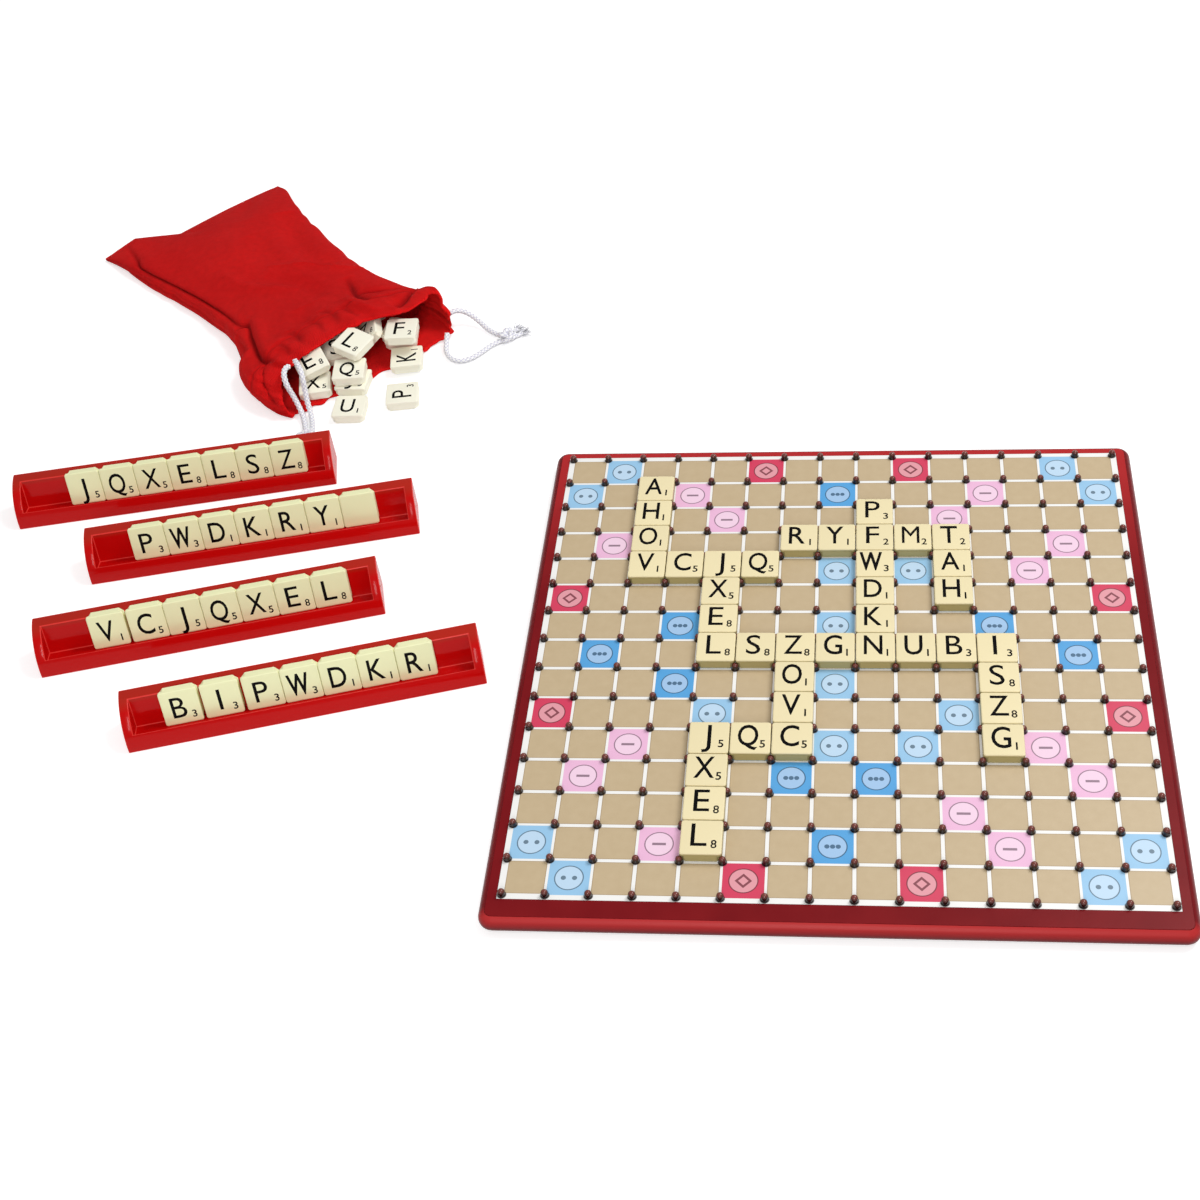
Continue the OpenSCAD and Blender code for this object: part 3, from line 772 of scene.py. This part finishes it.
# The tiles lean back: a step along their own height is up_y backwards and up_z upwards.
up_y, up_z = math.sin(math.radians(LEAN)), math.cos(math.radians(LEAN))
high = SIDE / 2 + GAP
for rack, (x, y, turn) in enumerate(RACKS, 1):
    stand = spot(x, y, 0, turn=turn)
    for k in range(7):
        seat = spot(
            ROW_START[rack - 1] + ROW_GAPS[rack - 1][k] + k * TILE_STEP + (SIDE - POCKET_L) / 2,
            POCKET_Y + high * up_y - GAP * up_z, POCKET_Z + high * up_z + GAP * up_y, roll=90 - LEAN)
        node = f"rack_{rack}_tile_{k + 1}"
        tiles_piece(f"tile_in_{node}", [stand @ seat], 12 * rack - 7 + k, node, node, RACK_TILES_PAINTED_LIGHTER,
                    blank=0 if (rack, k + 1) == BLANK else None)

# %% Tiles in the bag's mouth and in front of it
# Place in mm, then roll, pitch and turn in degrees
HEAP = [
    (-222.5, 226.5, 2.2, 0, 0, 5), (-222, 224, 7.2, 0, 0, -8), (-240.5, 189.5, 2, 0, 0, -3),
    (-242, 191.5, 7, 0, 0, 5), (-259.5, 187, 2, 0, 0, 12), (-262, 196, 10.3, 14, -10, 30),
    (-241.5, 205.5, 13.9, 6, 5, -28), (-253, 212, 5.8, 12, 0, 20), (-236, 221, 9.6, 4, -42, 12),
]
# Rows behind them, in the bag's own frame: place along it in mm, layer, turn and number of tiles
DEEP_ROWS = [
    (-38, 0, 2, 4), (-56, 0, -3, 4), (-73, 0, 1, 4), (-40, 1, 6, 3), (-59, 1, -4, 3), (-43, 2, 3, 2)]
ROW_PITCH, CLOTH_T, LAYER = 16.8, 1.2, 5.0
ROW_UP = CLOTH_T + 1.3
SPILLED = [
    (-239, 171, GAP, 0, 0, 1), (-214.3, 180.5, GAP, 0, 0, 98),
    (-216.5, 207, 2, 0, 0, 98), (-219, 216.5, 12.3, 0, 0, 3),
]
BAG_PLACE = (-237.9, 200.5)
BAG_TURN = -47.8
at_bag = spot(*BAG_PLACE, 0, turn=BAG_TURN)
places = [spot(*p) for p in HEAP]
for x, layer, turn, number in DEEP_ROWS:
    for k in range(number):
        across = (k - (number - 1) / 2) * (ROW_PITCH + layer)
        places.append(at_bag @ spot(x, across, ROW_UP + layer * LAYER, turn=turn))
heap = tiles_piece("tiles_in_bag", places, 3, "bag", "bag_tiles", BAG_TILES_PAINTED_LIGHTER)
for number, place in enumerate(SPILLED, 1):
    tiles_piece(f"tile_spilled_{number}", [spot(*place)], 11 + number * 3, f"spilled_{number}",
                f"spilled_tile_{number}", BAG_TILES_PAINTED_LIGHTER)

# %% [markdown]
# ## Drawstring bag
# A flat cotton bag lies on its side. The tiles hold its mouth open, the cloth sags onto the table
# behind them, and the hem is gathered on its cords. The bag is one sheet: a ring of points is carried
# from the sewn end to the mouth, over the hem's edge and back inside. Its folds are lines drawn over
# the cloth, along which it is pushed out or in at right angles to itself.

# %% The bag's rings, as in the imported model
BAG_L, MOUTH_H = 190, 25
BAG_RINGS = np.array([
    (-1, -54, 54, 0.12, 0), (-0.95, -52, 54, 0.28, 0), (-0.85, -48, 50, 0.5, 0),
    (-0.7, -43, 46, 0.66, 0), (-0.53, -38, 42, 0.76, 0), (-0.4, -37, 41, 0.82, 0),
    (-0.27, -42, 43, 0.88, 0.1), (-0.16, -49, 48, 0.94, 0.4), (-0.07, -52, 52, 1, 0.8),
    (-0.01, -51, 53, 1, 1), (0.03, -47, 52, 0.97, 1)])
MOUTH_SLANT, LIP_CUT, SIDE_RISE, BELLY, CROWN, KEEL = 0.45, 10, 0.25, 0.36, 0.6, 0.2
# The ring at the waist, where the cloth is measured round, and the hem's depth in the bag's length
WAIST, WAIST_CUTS = -0.4, 2881
SEWN, HEM, HEM_T = -0.995, -0.11, 1.8
AROUND, WALL_ROWS, LIP_ROWS, EDGE_ROWS, HEM_ROWS = 280, 208, 16, 7, 26
CLOTH_SKIN, SEAM_UP = 0.5 * MM, 1.6 * MM


def measure(x, column):
    """A column of the rings at place x: between two rings a cubic with the neighbours' slopes."""
    xs, ys = BAG_RINGS[:, 0], BAG_RINGS[:, column]
    slope = np.gradient(ys, xs)
    i = np.clip(np.searchsorted(xs, x) - 1, 0, len(xs) - 2)
    step = xs[i + 1] - xs[i]
    t = (x - xs[i]) / step
    h = 2 * t ** 3 - 3 * t ** 2 + 1, t ** 3 - 2 * t ** 2 + t, 3 * t ** 2 - 2 * t ** 3, t ** 3 - t ** 2
    return h[0] * ys[i] + h[1] * slope[i] * step + h[2] * ys[i + 1] + h[3] * slope[i + 1] * step


def bag_section(place, angle, inset):
    """Point (x, y, z) in mm of the ring at a place along the bag: y = middle + half cos a, and
    z = widest + (high - widest) sin(a)^crown above the widest line, with a flatter curve below it."""
    left, right, tall, slant = (measure(place, column) for column in (1, 2, 3, 4))
    c, s = np.cos(angle), np.sin(angle)
    high = tall * MOUTH_H * (1 + SIDE_RISE * (1 + place) * (c - 1) / 2)
    widest = BELLY * high
    z = np.where(
        s >= 0, widest + (high - inset - widest) * np.abs(s) ** CROWN,
        widest - (widest - inset) * np.abs(s) ** KEEL)
    y = (left + right) / 2 + ((right - left) / 2 - inset) * c
    back = MOUTH_SLANT * z + LIP_CUT * np.maximum(s, 0) ** 2 * (1 - c)
    return np.stack(np.broadcast_arrays(place * BAG_L - slant * back, y, z), -1)


# Angles that cut the waist's ring evenly, and the distance of each from the bag's right side
fine_angle = np.linspace(0, 2 * np.pi, WAIST_CUTS)
fine_run = along(bag_section(np.full(WAIST_CUTS, WAIST), fine_angle, 0)[:, 1:])
RUN_ROUND = np.arange(AROUND) / AROUND * fine_run[-1]
ANGLES = np.interp(RUN_ROUND, fine_run, fine_angle)


def bell(distance, width):
    """1 on the line, falling to nothing over a few widths: exp(-(d / w)^2)."""
    return np.exp(-(distance / width) ** 2)


# The main folds are lines over the cloth. A place is (along, round) in mm: along the bag from its
# mouth, and round it from its right side over the top. Then come width and height in mm, less than 0
# for a groove, and the kind: a soft fold is a bell across its line, a sharp one has an edge there.
SOFT, SHARP = 2, 1
# Sharp grooves are also painted darker, painted shade: fully where CREASE_DEEP mm deep, times CREASE_SHADE.
FOLD_SCALE, CREASE_DEEP, CREASE_SHADE = 1.25, 3, 0.7
FOLDS = [
    # side seam on the left flank, the puffed cloth below it and the shoulder above it
    ([(-186, 74), (-168, 80), (-156, 85), (-130, 85.5), (-98, 84), (-70, 81), (-60, 75)], 1.7, -3.4, SHARP),
    ([(-168, 93), (-130, 93), (-95, 92), (-66, 89)], 4.5, 1.6, SOFT),
    ([(-182, 66), (-151, 74), (-121, 76), (-97, 76), (-74, 73)], 7, -1.8, SOFT),
    # corner of the top panel, drawn in over the flap at the left of the mouth
    ([(-66, 83), (-61, 76), (-50, 77), (-38, 76.5), (-21, 76), (-11, 74.5), (-2, 73)], 1.8, -4, SHARP),
    ([(-62, 72), (-45, 72), (-24, 71), (-8, 69)], 3.6, 2, SOFT),
    ([(-60, 86), (-50, 85), (-40, 82)], 3.2, -2.6, SOFT),
    ([(-42, 89), (-24, 87), (-8, 84)], 5, 1.8, SOFT),
    ([(-14, 75), (-7, 80), (-2, 85), (3, 88)], 1.8, -2.8, SHARP),
    # the waist at the right: a fine ridge between two valleys
    ([(-95, 47), (-85, 37), (-79, 29), (-70, 22), (-64, 16), (-60, 7)], 2, 1.7, SHARP),
    ([(-142, 14), (-106, 21), (-83, 23), (-70, 18)], 6.5, -2.6, SOFT),
    ([(-88, 50), (-67, 41), (-56, 38), (-44, 38)], 5, -1.8, SOFT),
    ([(-112, 66), (-98, 65), (-86, 62), (-73, 53), (-64, 44)], 3.4, 1.4, SOFT),
    ([(-44, 50), (-16, 56), (-6, 64)], 6, -1.7, SOFT),
    # gathers behind the lip
    ([(-54, 21), (-32, 27), (-12, 28)], 2.2, -2.8, SHARP),
    ([(-34, 26), (-27, 20), (-20, 12)], 2.2, -2.4, SHARP),
    ([(-30, 33), (-14, 34), (2, 31)], 2.4, 1.6, SOFT),
    ([(2, 24), (-3, 18), (-14, 9)], 2.4, -3.6, SHARP),
    ([(-26, 45), (-12, 43), (2, 45)], 2, -1.5, SHARP),
    ([(-20, 52), (-9, 50), (2, 52)], 1.8, -1.3, SHARP),
    ([(-24, 60), (-10, 59), (2, 61)], 2, -1.6, SHARP),
    ([(-16, 67), (-6, 66), (2, 68)], 1.8, -1.4, SHARP),
    ([(-18, 38), (-8, 38), (2, 37)], 1.7, -1.2, SHARP),
    # wrinkles near the sewn end
    ([(-188, 60), (-176, 52), (-160, 50)], 3, -0.9, SOFT),
    ([(-188, 30), (-172, 27), (-150, 33)], 4, -1, SOFT),
    ([(-150, 48), (-120, 52), (-92, 58)], 7, 1, SOFT),
    ([(-130, 38), (-104, 40), (-84, 36)], 5, -0.9, SOFT),
]
# How far the sewn end is drawn in, in mm, at places across the bag
DOG_EAR = [(-54, -1), (-33, -6), (-12, 9), (20, 6), (54, 4)]
# The lip's ear at the right and its cut at the left: angle and width, then the ear's shift in mm
EAR_AT, EAR_SHIFT = (math.radians(24), 0.24), (-3.4, 3.6, 4.6)
CUT_AT, CUT_DEPTH = (math.radians(148), 0.22), 5


def fold(along_bag, round_bag, line, width, height, kind):
    """Height of one fold everywhere on the cloth: h exp(-(d / w)^kind) sin(pi q)^0.5, where d is the
    distance from its line and q how far along that line the nearest place is. Then the painted shade
    of its crease."""
    line = smooth_route(line, 24)
    length = along(line)
    nearest = np.full(along_bag.shape, np.inf)
    share = np.zeros(along_bag.shape)
    for start, step, before in zip(line, np.diff(line, axis=0), length):
        ahead, beside = along_bag - start[0], round_bag - start[1]
        q = np.clip((ahead * step[0] + beside * step[1]) / (step @ step), 0, 1)
        off = np.hypot(ahead - q * step[0], beside - q * step[1])
        share = np.where(off < nearest, (before + q * math.hypot(*step)) / length[-1], share)
        nearest = np.minimum(off, nearest)
    ends = np.sin(np.pi * share) ** 0.5
    deep = np.clip(-height / CREASE_DEEP, 0, 1) if kind == SHARP else 0
    rise = FOLD_SCALE * height * np.exp(-(nearest / width) ** kind) * ends
    return rise, bell(nearest, width / 1.6) * ends * deep


def bag_rows():
    """Place along the bag and inset in mm for each row, from the sewn end over the hem and back inside."""
    turn = np.linspace(0, np.pi, EDGE_ROWS + 2)[1:-1]
    place = np.concatenate([
        np.linspace(SEWN, -0.03, WALL_ROWS), np.linspace(-0.024, 0.022, LIP_ROWS),
        0.024 + 0.005 * np.sin(turn), np.linspace(0.022, HEM, HEM_ROWS)])
    inset = np.concatenate([
        np.zeros(WALL_ROWS + LIP_ROWS), HEM_T / 2 * (1 - np.cos(turn)), np.full(HEM_ROWS, HEM_T)])
    return place, inset


def outward(points):
    """Unit normals of a grid of points that closes round: the cross product of its two directions."""
    around = np.roll(points, -1, 1) - np.roll(points, 1, 1)
    normal = np.cross(around, np.gradient(points, axis=0))
    return normal / np.maximum(np.linalg.norm(normal, axis=2, keepdims=True), 1e-9)


def bag_shape():
    """The whole sheet: rings with folds, hem, gathers and side seams. Returns points and cloth places in
    metres, and the painted shade of each point's crease."""
    place, inset = bag_rows()
    p, a = np.meshgrid(place, ANGLES, indexing="ij")
    inset = inset[:, None]
    points = bag_section(p, a, inset)
    side, up = np.cos(a), np.sin(a)
    facing = np.stack([np.zeros_like(a), side, up], -1)
    normal = outward(points)
    normal *= np.where((normal * facing).sum(-1) < 0, -1, 1)[..., None]
    far = p * BAG_L
    near = np.broadcast_to(RUN_ROUND, a.shape)
    rises, darks = zip(*(fold(far, near, *line) for line in FOLDS))
    lift, crease = sum(rises), np.clip(sum(darks), 0, 1)
    # Puckers of the two side seams, and the slow waves of a cloth that lies loose.
    pucker = np.sin(far / 3.1 + 2 * np.sin(far / 11)) * (0.6 + 0.4 * np.sin(far / 19 + 1))
    lift += pucker * (0.42 * bell(near - 5, 5) + 0.7 * bell(near - 88, 4)) * (p < -0.1)
    lift += 0.35 * np.sin(far / 17 + near / 23) + 0.3 * np.sin(far / 9 - near / 12 + 1)
    # The casing's stitched line, 14 mm behind the mouth. Its groove gets painted shade, and painted crease
    # shade is kept to the upper side.
    seam = far + 14 + np.sin(near / 4)
    lift -= 0.7 * bell(seam, 1.3)
    crease = np.maximum(crease, 0.35 * bell(seam, 1.0)) * (up > 0)
    # The gathered mouth: fine pleats that die out behind it.
    mouth = np.clip((p + 0.22) / 0.2, 0, 1) ** 2
    pleat = np.sin(19 * a + 1.6 * np.sin(3 * a) + 9 * p) + 0.6 * np.sin(31 * a + 2.1 * np.sin(2 * a))
    lift += pleat * mouth * 0.6
    room = np.clip((measure(p, 3) * MOUTH_H - 2) / 8, 0.15, 1)
    top = np.clip(up * 4 + 1.6, 0, 1)
    points = points + (lift * room * top)[..., None] * normal
    # The sewn end isn't straight: a corner is turned up at its left.
    end = np.clip((-0.78 - p) / 0.2, 0, 1) ** 1.5
    points[..., 0] += end * np.interp(points[..., 1], *np.transpose(DOG_EAR))
    # The lip waves, is cut back beside the left cord and stands up in an ear at its right.
    rim = np.clip((p + 0.09) / 0.1, 0, 1)
    points[..., 0] += rim * (pleat * 0.7 + 1.4 * np.sin(7 * a + 1) * np.clip(up, 0, 1))
    points[..., 0] -= CUT_DEPTH * rim * bell(a - CUT_AT[0], CUT_AT[1])
    points += (rim * bell(a - EAR_AT[0], EAR_AT[1]))[..., None] * EAR_SHIFT
    points[..., 2] = np.maximum(points[..., 2], 0.25 + inset * 0.6)
    uv = np.stack(np.broadcast_arrays(near, far), -1)
    return points * MM, uv * MM, CREASE_SHADE * crease


def bag_piece():
    """The sheet as an object on the table, closed at the sewn end, with its thickness put inside."""
    points, uv, crease = bag_shape()
    height = points[0, :, 2]
    height[:] = SEAM_UP + (height - height.mean()) * 0.12
    faces = grid_faces(len(points), AROUND)
    faces += [[k, k + 1, AROUND - k - 1, AROUND - k] for k in range(1, AROUND // 2)]
    made = piece("bag_cloth", moved(at_bag, points.reshape(-1, 3)), faces, [RED_COTTON],
                 uv=uv.reshape(-1, 2), sharp=0, tint=crease.ravel())
    wall = made.modifiers.new("cloth", "SOLIDIFY")
    wall.thickness, wall.offset = CLOTH_SKIN, -1
    return made


bag = bag_piece()
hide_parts("bag")
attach(bag, "bag")

# %% [markdown]
# ## The imported pieces that stay
# The tray, the peg plate, the pegs, the sheet, the frame and the racks have their true curves already,
# so they keep their meshes and get a finish. A fine bevel softens the moulded edges of the racks and
# the frame, where gloss shows as a bright line. The racks' bevels have a lighter red of their own,
# the second in the list: a painted highlight along their edges.

# %% Finishes and bevels on imported nodes
BEVEL, WELD_GAP, BEVEL_FROM = 0.35 * MM, 0.005 * MM, math.radians(35)
OWN_FINISH, SECOND_FINISH = -1, 1
FINISHES = {
    "base_tray": [TRAY_RED], "peg_plate": [PLATE_BROWN], "pegs": [PEG_BROWN],
    "play_sheet": [PRINTED_CARD], "rim_frame": [FRAME_RED]}
FINISHES.update({f"rack_{n}": [RACK_RED, RACK_PAINTED_EDGE_HIGHLIGHT] for n in range(1, len(RACKS) + 1)})
for node, finishes in FINISHES.items():
    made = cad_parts[node]
    made.data.materials.clear()
    for finish in finishes:
        made.data.materials.append(finish)
    if node.startswith("rack") or node == "rim_frame":
        weld = made.modifiers.new("weld", "WELD")
        weld.merge_threshold = WELD_GAP
        bevel = made.modifiers.new("bevel", "BEVEL")
        bevel.width, bevel.segments = BEVEL, 3
        bevel.limit_method, bevel.angle_limit = "ANGLE", BEVEL_FROM
        bevel.harden_normals = True
        bevel.material = SECOND_FINISH if RACK_PAINTED_EDGE_HIGHLIGHT in finishes else OWN_FINISH

# %% [markdown]
# ## Table and light
# The set is pictured on plain white. The floor is pale, and turns white where the camera or a
# reflection sees it bare, but it keeps the shadows. A soft key lamp stands behind the board at the
# right. A tall narrow lamp stands in front: its reflection is the bright streak at each rack's right
# end. The world gives the even light between them, and is white where the camera looks past the floor.

# %% Floor
FLOOR_HALF, FLOOR_DOWN, FLOOR_GLOW = 2.0, 0.1 * MM, 0.48


def floor_finish():
    """Pale matt floor that adds a little of its own light for the camera and for glossy rays."""
    paint = Paint("floor")
    rays = paint.node("ShaderNodeLightPath", {}, {}).socket.node.outputs
    seen = Value(paint, rays["Is Camera Ray"]).most(Value(paint, rays["Is Glossy Ray"]))
    return paint.finish(Base_Color=linear(238, 238, 238), Roughness=0.9, Emission_Color=(1, 1, 1, 1),
                        Emission_Strength=seen * FLOOR_GLOW)


corners = [(x * FLOOR_HALF, y * FLOOR_HALF, -FLOOR_DOWN) for x, y in ((-1, -1), (1, -1), (1, 1), (-1, 1))]
floor = piece("floor", corners, [[0, 1, 2, 3]], [floor_finish()])
floor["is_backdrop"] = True

# %% World and lamps
WORLD_LIGHT = 0.38

world = bpy.data.worlds.new("studio")
bpy.context.scene.world = world
world.use_nodes = True
tree = world.node_tree
sky = tree.nodes["Background"]
sky.inputs["Color"].default_value = (1, 1, 1, 1)
rays = tree.nodes.new("ShaderNodeLightPath")
level = tree.nodes.new("ShaderNodeMapRange")
level.inputs["To Min"].default_value = WORLD_LIGHT
tree.links.new(rays.outputs["Is Camera Ray"], level.inputs["Value"])
tree.links.new(level.outputs[0], sky.inputs["Strength"])


def lamp(name, place, aim, width, height, power):
    """Oblong area lamp at place that looks at aim."""
    data = bpy.data.lights.new(name, "AREA")
    data.shape, data.size, data.size_y, data.energy = "RECTANGLE", width, height, power
    made = bpy.data.objects.new(name, data)
    away = Vector(place) - Vector(aim)
    made.matrix_world = Matrix.Translation(place) @ away.to_track_quat("Z", "Y").to_matrix().to_4x4()
    bpy.context.collection.objects.link(made)


lamp("key", (0.55, 0.45, 1.15), (-0.05, 0.0, 0.0), 0.5, 0.5, 9.6)
lamp("strip", (-0.02, -0.95, 0.95), (-0.15, 0.0, 0.0), 0.22, 0.9, 7.0)

# %% [markdown]
# ## The size
# The finished set's box is printed in mm, to set beside the imported model's box. The finished
# set has to stay inside the imported model's box.

# %% Print the size
low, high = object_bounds()
print("visual model, mm:", [round(float(v) / MM, 1) for v in (*low, *high)])
